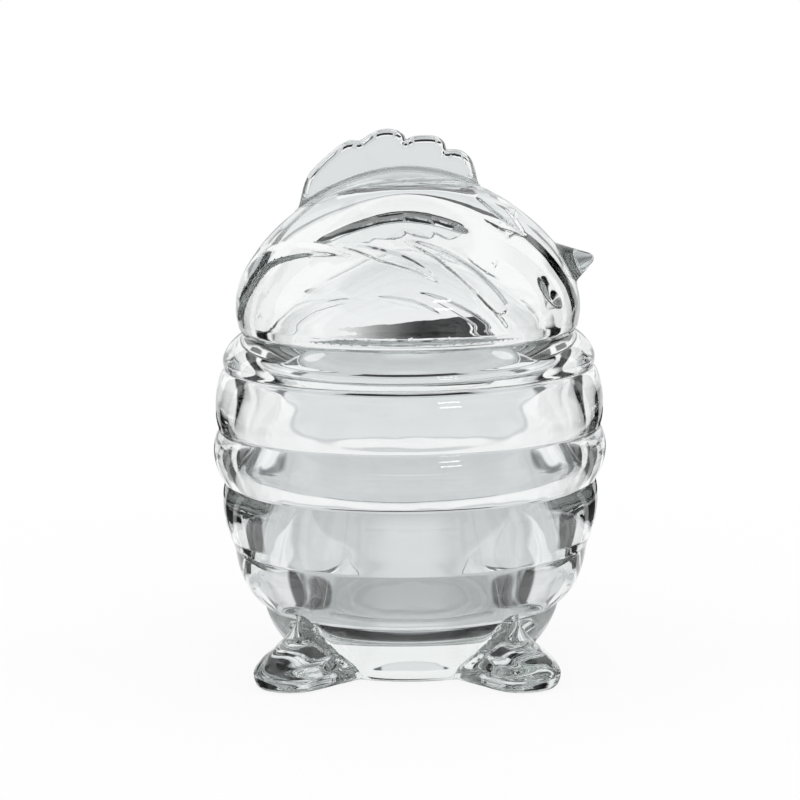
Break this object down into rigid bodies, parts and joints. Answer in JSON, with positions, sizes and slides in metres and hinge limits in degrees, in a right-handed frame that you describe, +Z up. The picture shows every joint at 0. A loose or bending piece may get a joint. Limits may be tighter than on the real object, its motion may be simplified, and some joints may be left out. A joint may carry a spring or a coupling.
{
  "type": "candy jar",
  "caption": "Clear pressed-glass candy jar shaped as a plump hen: ringed body on bird's feet, and a hollow domed lid that lifts off by its comb.",
  "frame": {"origin": "on the jar's axis, on the table that its flat base stands on", "axes": "+Z up along the jar's axis, -Y to the side that the feet point to, +X to the side that the beak points to with the lid as it lies at rest"},
  "size_m": [0.1144, 0.1144, 0.1562],
  "materials": {
    "jar_glass": "clear colourless pressed soda-lime glass, fire-polished",
    "lid_glass": "clear colourless pressed soda-lime glass, fire-polished"
  },
  "bodies": {
    "jar": {"jar": "jar_glass"},
    "lid": {"lid": "lid_glass"}
  },
  "joints": [
    {"name": "lid_lift", "type": "slide", "parent": "jar", "child": "lid", "axis": [0, 0, 1], "range_m": [0, 0.08]}
  ]
}
